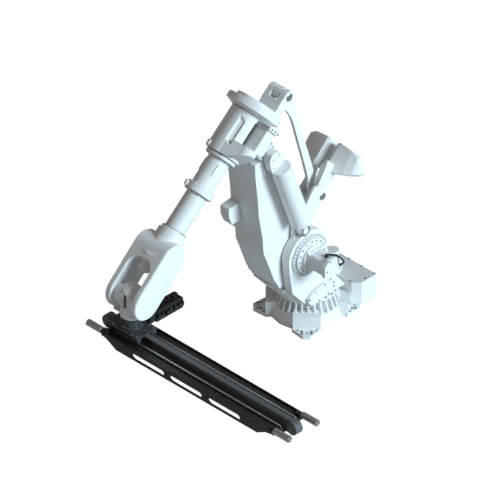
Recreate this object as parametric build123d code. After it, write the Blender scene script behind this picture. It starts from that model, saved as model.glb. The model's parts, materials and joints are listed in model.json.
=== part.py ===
from build123d import *
import math
import os

# Press tending robot arm with a parallel rod and counterweight, and a linear beam on its wrist.
# Millimetres. +Z is up, the arm reaches towards -Y, and the origin is where axis 1 meets the floor.

os.makedirs("parts", exist_ok=True)

# Arm geometry, in the side plane (y, z)
SHOULDER = (-245.0, 814.5)
LOWER_ARM_LENGTH = 1280.0
LOWER_ARM_LEAN = 18.6
UPPER_ARM_PITCH = 40.7
AXIS4_OFFSET = 255.0
AXIS4_REACH = 1670.0
WRIST_STATION = 25.8
LEVER = 477.0
LEVER_TILT = 4.2

# Base
RING_RADIUS = 267.0
RING_TOP = 262.0
RING_HEIGHT = 26.0
FOOT_HALF = 340.0
FOOT_PLATE = 34.0
FOOT_WALL_HEIGHT = 150.0
FOOT_WALL_WIDTH = 236.0
FOOT_WALL_REACH = 345.0
SKIRT_FOOT_RADIUS = 318.0
SKIRT_TOP_RADIUS = 250.0
RIB_COUNT = 30
RIB_THICKNESS = 16.0
BOX_HALF_WIDTH = 321.0
BOX_FRONT = 270.0
BOX_BACK = 515.0
BOX_TOP = 250.0
LID_THICKNESS = 10.0
BOLT_HOLE = 28.0
BOLT_SQUARE = 282.0
SIDE_BOLT = (30.0, -84.0)

# Turntable
TURN_GAP = 6.0
TURN_RADIUS = 256.0
TURN_PLATE = 60.0
CHEEK_INNER = 176.0
CHEEK_OUTER = 262.0
CHEEK_RADIUS = 229.0
GEAR_RADIUS = 168.0
GEAR_FACE = 304.0
MOTOR_SIDE = 150.0
MOTOR_END = 562.0
MOTOR_CAP = 36.0
MOTOR_CAP_HALF = 105.0
MOTOR1 = (36.0, 270.0)
MOTOR1_SEAT = 328.0
MOTOR1_TOP = 493.0
CONDUIT_SOCKET = (-177.0, 828.0)
CONDUIT_RADIUS = 8.0

# Arms
ARM_HALF_WIDTH = 165.0
ARM_WALL = 52.0
EAR_RADIUS = 96.0
ELBOW_GAP = 98.0
PLATE_INNER = 62.0
PLATE_OUTER = 92.0
ROD_EYE_HALF = 34.0
ROD_WEB_HALF = 17.0
CLEVIS_SLOT = 46.0
CLEVIS_HALF = 104.0
PIN_RADIUS = 30.0
PIN_HOLE = 30.5
BRACKET_THICKNESS = 11.0
CYLINDER_X = 272.0
CYLINDER_RADIUS = 90.0
CYLINDER_BORE = 77.0
HEAD_INNER = 190.0
HEAD_OUTER = 262.0
HEAD_SEAT = 75.0
ROD_EYE = (244.0, 294.0)
CYLINDER_TOP_PIN = (1190.0, -15.0)
FRAME_PIN = (-64.0, 283.0)
TUBE_START = 112.0

MOTOR4_X = 222.0
MOTOR4_RISE = -35.0
MOTOR4_WIDTH = 128.0
MOTOR4_DEPTH = 134.0
HOUSE_RADIUS = 158.0
HOUSE_START = 1432.0
HOUSE_END = 1838.0
DISC_RADIUS = 252.0
DISC_RISE = -22.0

# Wrist and linear beam
WRIST_HALF_WIDTH = 168.0
WRIST_CHEEK = 40.0
WRIST_END_RADIUS = 150.0
WRIST_LENGTH = 415.0
HOUSING_RADIUS = 95.0
HOUSING_BOTTOM = 983.0
HOUSING_TOP = 1265.0
RAIL_OFFSET = 180.0
RAIL_THICKNESS = 10.0
RAIL_BOTTOM = 710.0
RAIL_TOP = 815.0
RAIL_START = -159.0
RAIL_END = 1846.0
BEAM_START = -181.0
BEAM_END = 1846.0
GUIDE_OFFSET = 88.0
PULLEY_RADIUS = 62.0
PULLEY_ENDS = (1912.0, -247.0)
BELT_AXIS_Z = 801.0
BAR_RADIUS = 30.0
BAR_OFFSET = 163.0
BAR_START = -345.0
BAR_END = 2018.0
BAR_Z = 810.0
CLAMP_LENGTH = 62.0


def turned(point, angle):
    """A (y, z) vector turned by an angle in degrees about the X axis."""
    c, s = math.cos(math.radians(angle)), math.sin(math.radians(angle))
    return (point[0] * c - point[1] * s, point[0] * s + point[1] * c)


def add(p, q, scale=1.0):
    return (p[0] + q[0] * scale, p[1] + q[1] * scale)


ARM_ANGLE = 90 + LOWER_ARM_LEAN
ARM_DIR = turned((1, 0), ARM_ANGLE)
ARM_FRONT = turned((0, 1), ARM_ANGLE)
ELBOW = add(SHOULDER, ARM_DIR, LOWER_ARM_LENGTH)
BACK_DIR = turned((1, 0), UPPER_ARM_PITCH)
UP_DIR = turned((0, 1), UPPER_ARM_PITCH)
AXIS4_ORIGIN = add(add(ELBOW, UP_DIR, AXIS4_OFFSET), BACK_DIR, -AXIS4_REACH)
WRIST = add(AXIS4_ORIGIN, BACK_DIR, WRIST_STATION)
LEVER_DIR = turned((1, 0), UPPER_ARM_PITCH + LEVER_TILT)
ROD_TOP = add(ELBOW, LEVER_DIR, LEVER)
ROD_BOTTOM = add(SHOULDER, LEVER_DIR, LEVER)
EYE = (AXIS4_REACH + LEVER * math.cos(math.radians(LEVER_TILT)),
       LEVER * math.sin(math.radians(LEVER_TILT)) - AXIS4_OFFSET)
TOP_PIN = add(add(SHOULDER, ARM_DIR, CYLINDER_TOP_PIN[0]), ARM_FRONT, CYLINDER_TOP_PIN[1])
LOW_PIN = add(SHOULDER, FRAME_PIN)
CYLINDER_LENGTH = math.hypot(TOP_PIN[0] - LOW_PIN[0], TOP_PIN[1] - LOW_PIN[1])
CYLINDER_DIR = ((TOP_PIN[0] - LOW_PIN[0]) / CYLINDER_LENGTH, (TOP_PIN[1] - LOW_PIN[1]) / CYLINDER_LENGTH)


def side_plane(x, centre=(0, 0), angle=0):
    """Plane across X at x, with its own x axis at an angle in the (y, z) plane."""
    direction = turned((1, 0), angle)
    return Plane(origin=(x, centre[0], centre[1]), x_dir=(0, direction[0], direction[1]), z_dir=(1, 0, 0))


def slab(points, x0, x1, centre=(0, 0), angle=0):
    """Flat plate from x0 to x1 with a straight-sided outline."""
    outline = make_face(Polyline(*points, close=True))
    return extrude(side_plane(x0, centre, angle) * outline, amount=x1 - x0)


def round_slab(sketch, x0, x1, centre=(0, 0), angle=0):
    """Flat plate from x0 to x1 with any sketch as its outline."""
    return extrude(side_plane(x0, centre, angle) * sketch, amount=x1 - x0)


def disc(radius, x0, x1, centre):
    """Cylinder along X."""
    return round_slab(Circle(radius), x0, x1, centre)


def axis4_plane(distance, x=0.0, rise=0.0):
    """Plane across the upper arm's long axis, facing back, at a station along it."""
    at = add(add(AXIS4_ORIGIN, BACK_DIR, distance), UP_DIR, rise)
    return Plane(origin=(x, at[0], at[1]), x_dir=(1, 0, 0), z_dir=(0, BACK_DIR[0], BACK_DIR[1]))


def arm_top_plane():
    """Plane along the upper arm's long axis, facing up from the arm, with stations as its y."""
    return Plane(origin=(0, AXIS4_ORIGIN[0], AXIS4_ORIGIN[1]), x_dir=(1, 0, 0), z_dir=(0, UP_DIR[0], UP_DIR[1]))


def tube4(radius, start, end, top_radius=None, x=0.0, rise=0.0):
    """Round length of the upper arm, a cone where a second radius is given."""
    low = axis4_plane(start, x, rise) * Circle(radius)
    if top_radius is None:
        return extrude(low, amount=end - start)
    high = axis4_plane(end, x, rise) * Circle(top_radius)
    return loft(Sketch() + [low, high], ruled=True)


def rod_between(p, q, radius, x):
    """Cylinder in the side plane between two (y, z) points at x."""
    direction = (q[0] - p[0], q[1] - p[1])
    plane = Plane(origin=(x, p[0], p[1]), x_dir=(1, 0, 0), z_dir=(0, direction[0], direction[1]))
    return extrude(plane * Circle(radius), amount=math.hypot(*direction))


def both_sides(shape):
    """The same piece on the near and the far side of the arm."""
    return Part() + shape + shape.mirror(Plane.YZ)


def block(x0, x1, y0, y1, z0, z1):
    return Pos((x0 + x1) / 2, (y0 + y1) / 2, (z0 + z1) / 2) * Box(x1 - x0, y1 - y0, z1 - z0)


# Base, bolted to the floor

def foot(angle):
    """Corner foot: a wall box on the diagonal and a low plate with three bolt holes."""
    inner = 150.0
    wall = Pos(0, 0, FOOT_WALL_HEIGHT / 2) * Box(FOOT_WALL_REACH, FOOT_WALL_WIDTH, FOOT_WALL_HEIGHT,
                                                 align=(Align.MIN, Align.CENTER, Align.CENTER))
    wall = Rot(0, 0, 45) * wall
    corner = [(inner, inner), (inner, FOOT_HALF - 12), (FOOT_HALF - 45, FOOT_HALF), (FOOT_HALF, FOOT_HALF - 45),
              (FOOT_HALF - 12, inner)]
    plate = extrude(make_face(Polyline(*corner, close=True)), amount=FOOT_PLATE)
    for dx, dy in ((0, 0), SIDE_BOLT, SIDE_BOLT[::-1]):
        plate -= Pos(BOLT_SQUARE + dx, BOLT_SQUARE + dy, 0) * Cylinder(BOLT_HOLE / 2, 3 * FOOT_PLATE)
    return Rot(0, 0, angle) * (wall + plate)


def base_casting():
    skirt_top = RING_TOP - RING_HEIGHT
    drum = extrude(Circle(215), amount=skirt_top)
    skirt = loft(Sketch() + [RegularPolygon(SKIRT_FOOT_RADIUS, 16), Pos(0, 0, 120) * RegularPolygon(290, 16)],
                 ruled=True)
    body = drum + skirt
    for k in range(4):
        body += foot(90 * k)
    profile = [(200, 100), (292, 100), (286, 140), (SKIRT_TOP_RADIUS, skirt_top), (200, skirt_top)]
    for k in range(RIB_COUNT):
        rib = extrude(Plane.XZ.offset(-RIB_THICKNESS / 2) * make_face(Polyline(*profile, close=True)),
                      amount=RIB_THICKNESS)
        body += Rot(0, 0, 360 / RIB_COUNT * (k + 0.5)) * rib
    body -= connection_room()
    return body


def connection_room():
    """Space that the connection box takes, a little larger than the box."""
    return block(-BOX_HALF_WIDTH - 1, BOX_HALF_WIDTH + 1, BOX_FRONT - 1, BOX_BACK + 1, FOOT_PLATE + 1, BOX_TOP + 40)


def connection_outline(grow=0.0):
    half = BOX_HALF_WIDTH + grow
    front = BOX_FRONT
    points = [(-257, front), (257, front), (half, front + 64), (half, BOX_BACK + grow), (-half, BOX_BACK + grow),
              (-half, front + 64)]
    return make_face(Polyline(*points, close=True))


def connection_box():
    bottom = FOOT_PLATE + 2
    return extrude(Plane.XY.offset(bottom) * connection_outline(), amount=BOX_TOP - bottom)


def box_lid():
    return extrude(Plane.XY.offset(BOX_TOP) * connection_outline(-4), amount=LID_THICKNESS)


def base_ring():
    plane = Plane.XY.offset(RING_TOP - RING_HEIGHT)
    return extrude(plane * (Circle(RING_RADIUS) - Circle(120)), amount=RING_HEIGHT)


# Turntable: round foot, two cheeks and the webs between them

def turntable_frame():
    bottom = RING_TOP + TURN_GAP
    body = extrude(Plane.XY.offset(bottom) * Circle(TURN_RADIUS), amount=TURN_PLATE)
    ys, zs = SHOULDER
    low = bottom + 20
    cheek = make_face(Polyline((-255, low), (-432, 500), (ys - CHEEK_RADIUS + 2, zs - 60),
                               (ys, zs + 40), (ys + CHEEK_RADIUS - 2, zs - 60), (40, 500), (190, low), close=True))
    cheek += Pos(ys, zs) * Circle(CHEEK_RADIUS)
    for x0, x1 in ((CHEEK_INNER, CHEEK_OUTER), (-CHEEK_OUTER, -CHEEK_INNER)):
        body += round_slab(cheek, x0, x1)
    chin = [(-250, low), (-290, low), (-462, 490), (-440, 505), (-300, 345), (-200, 345)]
    back = [(60, low), (190, low), (60, 470), (20, 470)]
    body += slab(chin, -CHEEK_INNER, CHEEK_INNER)
    body += slab(back, -CHEEK_INNER, CHEEK_INNER)
    x, y = MOTOR1
    lug = Pos(x, y) * Circle(74) + make_face(Polyline((x - 74, y), (x + 74, y), (x + 84, 150), (x - 84, 150), close=True))
    return body + extrude(Plane.XY.offset(bottom + TURN_GAP) * lug, amount=MOTOR1_SEAT - bottom - TURN_GAP)


def frame_bracket():
    """Lug on the near cheek, with the pin that holds the balance cylinder's lower end."""
    ys, zs = LOW_PIN
    neck = make_face(Polyline((ys - 62, zs), (ys + 62, zs), (SHOULDER[0] + 90, SHOULDER[1] + 160),
                              (SHOULDER[0] - 130, SHOULDER[1] + 140), close=True)) + Pos(ys, zs) * Circle(62)
    neck -= Pos(*SHOULDER) * Circle(CHEEK_RADIUS + 0.2)
    return round_slab(neck, CHEEK_INNER + 2, 214) + disc(PIN_RADIUS, 214, ROD_EYE[1] + 5, LOW_PIN)


def gearbox(side):
    """Round reducer on a cheek, with its flange."""
    x0, x1 = CHEEK_OUTER, GEAR_FACE
    body = disc(GEAR_RADIUS + 28, x0, x0 + 14, SHOULDER) + disc(GEAR_RADIUS, x0, x1, SHOULDER)
    body += disc(118, x1, x1 + 22, SHOULDER)
    return body if side > 0 else body.mirror(Plane.YZ)


def axis_motor(side):
    ys, zs = SHOULDER
    x0 = GEAR_FACE + 22
    half = MOTOR_SIDE / 2
    body = block(x0, x0 + 26, ys - half - 8, ys + half + 8, zs - half - 8, zs + half + 8)
    shell = block(x0 + 26, MOTOR_END - MOTOR_CAP, ys - half, ys + half, zs - half, zs + half)
    body += fillet(shell.edges().filter_by(Axis.X), 18)
    return body if side > 0 else body.mirror(Plane.YZ)


def motor_cap(side):
    ys, zs = SHOULDER
    half = MOTOR_CAP_HALF
    body = block(MOTOR_END - MOTOR_CAP, MOTOR_END, ys - half, ys + half, zs - half, zs + half)
    body = chamfer(body.edges().filter_by(Axis.X), 54)
    body += disc(14, MOTOR_END, MOTOR_END + 12, CONDUIT_SOCKET)
    return body if side > 0 else body.mirror(Plane.YZ)


def drive_conduit():
    """Short stiff conduit from the top of the drive over its cap to the socket on the cap's face."""
    ys, zs = SHOULDER
    y, z = CONDUIT_SOCKET
    route = Spline((470, ys, zs + MOTOR_SIDE / 2), (512, ys + 8, 928), (560, ys + 36, 932), (598, ys + 62, 896),
                   (MOTOR_END + 19, y, z + 7), tangents=((0, 0, 1), (-0.7, 0, -0.7)))
    return sweep(Plane(origin=route @ 0, z_dir=route % 0) * Circle(CONDUIT_RADIUS), path=route)


def axis1_motor():
    """Upright round motor on the lug behind the turntable."""
    x, y = MOTOR1
    body = Pos(x, y, (MOTOR1_SEAT + MOTOR1_TOP) / 2) * Cylinder(56, MOTOR1_TOP - MOTOR1_SEAT)
    return body + Pos(x, y, MOTOR1_SEAT + 9) * Cylinder(68, 18)


def axis1_cover():
    outline = make_face(Polyline((-272, 300), (-276, 372), (-200, 428), (-80, 448), (30, 424), (34, 372),
                                 (-40, 318), (-160, 296), close=True))
    return round_slab(outline, CHEEK_OUTER, CHEEK_OUTER + 38)


# Lower arm

def lower_arm_outline():
    """Side outline, as (along the arm, forwards) points from the shoulder axis."""
    front = [(1225, 150), (1092, 188), (847, 240), (700, 280), (430, 320), (300, 355), (200, 350), (-51, 343),
             (-196, 317), (-212, 120), (-205, 60)]
    rear = [(120, -120), (330, -25), (1180, -25)]
    outline = make_face(Polyline(*front, *rear, close=True)) + Circle(205)
    return outline + Pos(LOWER_ARM_LENGTH, 0) * Circle(EAR_RADIUS)


def lower_arm():
    body = round_slab(lower_arm_outline(), -ARM_HALF_WIDTH, ARM_HALF_WIDTH, SHOULDER, ARM_ANGLE)
    pocket = make_face(Polyline((-260, -260), (-260, 200), (330, 200), (480, 60), (480, -260), close=True))
    inner = ARM_HALF_WIDTH - ARM_WALL
    body -= round_slab(pocket, -inner, inner, SHOULDER, ARM_ANGLE)
    fork = Pos(LOWER_ARM_LENGTH, 0) * Circle(172) + make_face(
        Polyline((LOWER_ARM_LENGTH, -172), (LOWER_ARM_LENGTH + 300, -172), (LOWER_ARM_LENGTH + 300, 200),
                 (LOWER_ARM_LENGTH, 172), close=True))
    body -= round_slab(fork, -ELBOW_GAP, ELBOW_GAP, SHOULDER, ARM_ANGLE)
    return body


def stop_block():
    """Bumper on the far side of the arm's front edge."""
    points = [(722, 205), (762, 392), (682, 418), (582, 412), (532, 225)]
    outline = make_face(Polyline(*points, close=True)) - lower_arm_outline()
    return round_slab(outline, -ARM_HALF_WIDTH, -60, SHOULDER, ARM_ANGLE)


def top_bracket():
    """Arm bracket and pin that carry the balance cylinder's upper end."""
    a, f = CYLINDER_TOP_PIN
    outline = make_face(Polyline((a - 150, f + 6), (a - 150, f + 120), (a + 40, f + 90), (a + 56, f), close=True))
    outline += Pos(a, f) * Circle(56)
    outline -= Pos(LOWER_ARM_LENGTH, 0) * Circle(90)
    outer = ARM_HALF_WIDTH + BRACKET_THICKNESS
    body = round_slab(outline, ARM_HALF_WIDTH, outer, SHOULDER, ARM_ANGLE)
    return body + disc(PIN_RADIUS, outer, HEAD_OUTER - 8, TOP_PIN)


def elbow_hub(side):
    body = disc(88, ARM_HALF_WIDTH, ARM_HALF_WIDTH + 10, ELBOW) + disc(52, ARM_HALF_WIDTH, ARM_HALF_WIDTH + 18, ELBOW)
    return body if side > 0 else body.mirror(Plane.YZ)


# Balance cylinder

def balance_tube():
    low = add(LOW_PIN, CYLINDER_DIR, TUBE_START)
    high = add(LOW_PIN, CYLINDER_DIR, CYLINDER_LENGTH - HEAD_SEAT)
    body = rod_between(low, high, CYLINDER_RADIUS, CYLINDER_X)
    body -= rod_between(add(low, CYLINDER_DIR, -5), add(high, CYLINDER_DIR, -26), CYLINDER_BORE, CYLINDER_X)
    return body


def balance_cap():
    """Flat head on the tube's end, rounded towards the elbow, with a closed hole for the arm's pin."""
    angle = math.degrees(math.atan2(CYLINDER_DIR[1], CYLINDER_DIR[0]))
    outline = make_face(Polyline((-HEAD_SEAT, 88), (-HEAD_SEAT, -88), (-10, -84), (50, -55), (92, -12), (96, 36),
                                 (56, 76), (0, 88), close=True))
    body = round_slab(outline, HEAD_INNER, HEAD_OUTER, TOP_PIN, angle)
    return body - disc(PIN_HOLE, HEAD_INNER - 1, HEAD_OUTER - 6, TOP_PIN)


def balance_rod():
    body = rod_between(LOW_PIN, add(LOW_PIN, CYLINDER_DIR, 330), 22, CYLINDER_X)
    body += disc(52, *ROD_EYE, LOW_PIN)
    return body - disc(PIN_HOLE, ROD_EYE[0] - 1, ROD_EYE[1] + 1, LOW_PIN)


# Parallel arm, with its two plates and the counterweight halves

# Plate and weight outlines, as (along the upper arm's direction, square to it) points from the shoulder axis
PLATE_BACK = [(0, -105), (206, -60), (400, -14), (470, -16), (530, 30), (655, 84)]
NEAR_PLATE_FRONT = [(700, 262), (523, 215), (515, 189), (452, 191), (347, 168), (160, 125), (0, 112)]
FAR_PLATE_FRONT = [(690, 190), (640, 165), (518, 142), (452, 139), (300, 128), (160, 115), (0, 110)]
WEIGHT_ARM = [(523, 215), (540, 150), (580, 60), (655, 84), (740, 150), (740, 290), (705, 268)]
WEIGHT_SECTIONS = [
    (25, [(655, 150), (918, 162), (924, 62), (677, 44)]),
    (70, [(655, 184), (925, 202), (925, 62), (685, 40)]),
    (210, [(704, 146), (916, 186), (918, 62), (736, 20)]),
    (275, [(735, 118), (886, 158), (888, 50), (775, 0)]),
    (307, [(768, 92), (826, 108), (820, 20), (800, -15)]),
]


def parallel_plate(side):
    front = NEAR_PLATE_FRONT if side > 0 else FAR_PLATE_FRONT
    outline = make_face(Polyline(*PLATE_BACK, *front, close=True)) + Circle(112)
    outline += Pos(LEVER * math.cos(math.radians(LEVER_TILT)), LEVER * math.sin(math.radians(LEVER_TILT))) * Circle(46)
    body = round_slab(outline, PLATE_INNER, PLATE_OUTER, SHOULDER, UPPER_ARM_PITCH)
    return body if side > 0 else body.mirror(Plane.YZ)


def parallel_hub():
    return disc(96, -PLATE_INNER, PLATE_INNER, SHOULDER)


def weight_half(side):
    """Half of the counterweight, from straight-sided sections that turn and shrink as they go outwards."""
    sections = [side_plane(x, SHOULDER, UPPER_ARM_PITCH) * make_face(Polyline(*points, close=True))
                for x, points in WEIGHT_SECTIONS]
    body = loft(Sketch() + sections, ruled=True)
    if side > 0:
        body += slab(WEIGHT_ARM, PLATE_OUTER, 121, SHOULDER, UPPER_ARM_PITCH)
        return body - parallel_plate(1)
    return body.mirror(Plane.YZ) - parallel_plate(-1)


def lower_rod_pin():
    return disc(PIN_RADIUS, -PLATE_INNER + 1, PLATE_INNER - 1, ROD_BOTTOM)


# Parallel rod

def parallel_rod():
    """Bowed flat rod with a thicker eye at each end."""
    length = LOWER_ARM_LENGTH
    back = [(40, -45), (206, -46), (348, -54), (873, -69), (1100, -74), (1190, -62), (length, -40)]
    front = [(length - 50, 50), (1120, 30), (1047, 7), (963, -10), (903, -13), (396, 14), (224, 27), (120, 58),
             (30, 62)]
    web = make_face(Polyline(*back, *front, close=True))
    eyes = Circle(66) + Pos(length, 0) * Circle(56)
    holes = Circle(36) + Pos(length, 0) * Circle(36)
    body = round_slab(web - holes, -ROD_WEB_HALF, ROD_WEB_HALF, ROD_BOTTOM, ARM_ANGLE)
    return body + round_slab(eyes - holes, -ROD_EYE_HALF, ROD_EYE_HALF, ROD_BOTTOM, ARM_ANGLE)


# Upper arm

def arm_house():
    body = tube4(HOUSE_RADIUS, HOUSE_START, HOUSE_END)
    elbow_block = make_face(Polyline((1560, -120), (1560, -270), (1610, -330), (1730, -330), (1836, -250),
                                     (1836, -100), close=True))
    body += round_slab(elbow_block, -84, 84, AXIS4_ORIGIN, UPPER_ARM_PITCH)
    return body


def house_disc():
    return tube4(HOUSE_RADIUS, HOUSE_END, 1872, DISC_RADIUS - 12, rise=DISC_RISE) + tube4(
        DISC_RADIUS, 1872, 1930, rise=DISC_RISE)


def rear_ring():
    return tube4(190, 1930, 1962, rise=DISC_RISE)


def rear_clevis():
    """Fork with two long ears that holds the parallel rod's upper eye."""
    s, n = EYE
    outline = make_face(Polyline((1930, -150), (1989, -171), (2040, n + 56), (s, n + 56), (s, n - 56), (2042, n - 54),
                                 (2005, n - 44), (1930, n - 64), close=True)) + Pos(s, n) * Circle(56)
    body = round_slab(outline, -CLEVIS_HALF, CLEVIS_HALF, AXIS4_ORIGIN, UPPER_ARM_PITCH)
    slot = [(2076, -100), (2076, -185), (2040, -212), (1985, -262), (1925, -306), (1925, -400), (2300, -400),
            (2300, -100)]
    body -= slab(slot, -CLEVIS_SLOT, CLEVIS_SLOT, AXIS4_ORIGIN, UPPER_ARM_PITCH)
    body -= rear_ring()
    body -= house_disc()
    return body


def upper_rod_pin():
    return disc(PIN_RADIUS, 1 - CLEVIS_SLOT, CLEVIS_SLOT - 1, ROD_TOP)


def axis4_motor():
    """Square drive housing along the near lower side of the house, with its flange under the disc."""
    body = extrude(axis4_plane(1584, MOTOR4_X, MOTOR4_RISE) * RectangleRounded(MOTOR4_WIDTH, MOTOR4_DEPTH, 12),
                   amount=218)
    flange = extrude(axis4_plane(1802, MOTOR4_X + 6, MOTOR4_RISE) * RectangleRounded(156, 156, 30), amount=34)
    return body + flange - tube4(HOUSE_RADIUS + 0.3, 1580, HOUSE_END)


def axis4_lobe():
    """Gear lobe that joins the drive to the front of the house, with a slanted lower side."""
    x, rise = MOTOR4_X, MOTOR4_RISE
    shape = Pos(x, rise) * Circle(84)
    shape += make_face(Polyline((0, 155), (0, -155), (110, -140), (x, rise - 84), (x + 50, rise + 66), (120, 120),
                                close=True))
    body = extrude(axis4_plane(HOUSE_START) * shape, amount=152)
    side = make_face(Polyline((-10, HOUSE_START), (112, HOUSE_START), (210, 1480), (312, 1541), (312, 1600),
                              (-10, 1600), close=True))
    body &= extrude(arm_top_plane() * side, amount=300, both=True)
    return body - tube4(HOUSE_RADIUS + 0.2, HOUSE_START - 10, 1620)


# Forearm

def forearm_tube():
    return tube4(101, 1118, 1420) + tube4(140, 1396, 1426)


def forearm_flange():
    return tube4(130, 1050, 1118)


def forearm_front():
    return tube4(94, 690, 1050)


def wrist_collar():
    return tube4(114, 664, 690)


def wrist_outline(grow=0.0):
    """Long oval of the wrist cheeks, in the arm's own frame."""
    radius = WRIST_END_RADIUS + grow
    oval = Rectangle(WRIST_LENGTH, 2 * radius, align=(Align.MIN, Align.CENTER)) + Circle(radius) + Pos(
        WRIST_LENGTH, 0) * Circle(radius)
    return Pos(45, -5) * Rot(0, 0, 2.3) * oval


def wrist_fork():
    """Two cheeks and a round neck, with a rounded gap for the tilting housing."""
    inner = WRIST_HALF_WIDTH - WRIST_CHEEK
    body = round_slab(wrist_outline(), -WRIST_HALF_WIDTH, WRIST_HALF_WIDTH, AXIS4_ORIGIN, UPPER_ARM_PITCH)
    body += tube4(166, 400, 590, 130) + tube4(130, 590, 664)
    gap = Pos(0, 20) * RectangleRounded(2 * inner, 680, 110)
    return body - extrude(arm_top_plane() * gap, amount=300, both=True)


def wrist_cover(side):
    body = round_slab(wrist_outline(-4), WRIST_HALF_WIDTH, WRIST_HALF_WIDTH + 10, AXIS4_ORIGIN, UPPER_ARM_PITCH)
    return body if side > 0 else body.mirror(Plane.YZ)


def crotch_motor():
    """Rounded nose of the tilt drive, between the cheeks."""
    body = tube4(60, 262, 420, x=-35, rise=22)
    nose = body.edges().sort_by(Axis((0, 0, 0), (0, BACK_DIR[0], BACK_DIR[1])))[0]
    return fillet(nose, 36) - wrist_fork()


# Wrist block, which tilts about axis 5

def tilt_housing():
    """Upright barrel of the tool drive on a round cross hub."""
    height = HOUSING_TOP - HOUSING_BOTTOM
    barrel = Pos(0, WRIST[0], HOUSING_BOTTOM + height / 2) * Cylinder(HOUSING_RADIUS, height)
    barrel = fillet(barrel.edges().group_by(Axis.Z)[-1], 46)
    return barrel + disc(88, 2 + WRIST_CHEEK - WRIST_HALF_WIDTH, WRIST_HALF_WIDTH - WRIST_CHEEK - 2, WRIST)


def tool_flange():
    """Tool side of the wrist: a dark adapter and the plate's round seat."""
    y = WRIST[0]
    low = 881.0
    body = Pos(0, y, (low + HOUSING_BOTTOM) / 2) * Cylinder(78, HOUSING_BOTTOM - low)
    return body + Pos(0, y, low + 12) * Cylinder(104, 24)


# Linear beam unit

def carriage_plate():
    y = WRIST[0]
    return block(-190, 190, y - 120, y + 120, 866, 881)


def carriage_blocks():
    y = WRIST[0]
    body = Part()
    for sx in (-1, 1):
        for sy in (-1, 1):
            middle = y + sy * GUIDE_OFFSET
            body += block(sx * 150 - 34, sx * 150 + 34, middle - 24, middle + 24, 826, 865.5)
    return body


def beam_motor():
    y = WRIST[0]
    return block(-10, 110, y + 190, y + 500, 857, 960) + block(0, 100, y + 121, y + 190, 866, 940)


def centre_beam():
    y = WRIST[0]
    return block(BEAM_START, BEAM_END, y - 62, y + 62, 740, RAIL_TOP)


def guide_rail(side):
    y = WRIST[0] + side * GUIDE_OFFSET
    return block(BEAM_START + 4, BEAM_END - 4, y - 8, y + 8, 799, 822)


def cross_plate():
    """Flat plates that carry the guide rails and the bars, one each side of the centre beam."""
    y = WRIST[0]
    body = block(BEAM_START, BEAM_END, y - 174, y - 63, 764, 799)
    body += block(BEAM_START, BEAM_END, y + 63, y + 174, 764, 799)
    return body


def pulley_end(x):
    y = WRIST[0]
    return Pos(x, y, BELT_AXIS_Z) * Rot(90, 0, 0) * Cylinder(PULLEY_RADIUS, 77)


def rail_panel(side):
    y = WRIST[0] + side * RAIL_OFFSET
    outline = [(RAIL_START, RAIL_TOP), (RAIL_END, RAIL_TOP), (RAIL_END, 778), (1758, 764), (1659, RAIL_BOTTOM),
               (4, RAIL_BOTTOM), (-110, 768), (RAIL_START, 780)]
    body = extrude(Plane.XZ.offset(-y - RAIL_THICKNESS / 2) * make_face(Polyline(*outline, close=True)),
                   amount=RAIL_THICKNESS)
    for x0, x1 in ((200, 567), (642, 1008), (1091, 1456)):
        window = [(x0, 781), (x1 - 30, 781), (x1, 765), (x1, 733), (x0 + 30, 733), (x0, 749)]
        body -= extrude(Plane.XZ.offset(-y - 20) * make_face(Polyline(*window, close=True)), amount=40)
    return body


def bar_clamp(side, x0, x1):
    """Block on the plate that holds one end of a bar, cut flush with the rail panel."""
    y = WRIST[0] + side * BAR_OFFSET
    low, high = sorted((y - side * 36, y + side * 11))
    return block(x0, x1, low, high, 799, BAR_Z + 16)


def bar_clamps():
    body = Part()
    for side in (-1, 1):
        body += bar_clamp(side, BEAM_START, BEAM_START + CLAMP_LENGTH)
        body += bar_clamp(side, BEAM_END - CLAMP_LENGTH, BEAM_END)
    return body


def tool_bar(side, end):
    y = WRIST[0] + side * BAR_OFFSET
    start, stop = (BAR_START, BEAM_START) if end < 0 else (BEAM_END, BAR_END)
    return Pos(start, y, BAR_Z) * Rot(0, 90, 0) * Cylinder(
        BAR_RADIUS, stop - start, align=(Align.CENTER, Align.CENTER, Align.MIN))


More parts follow.
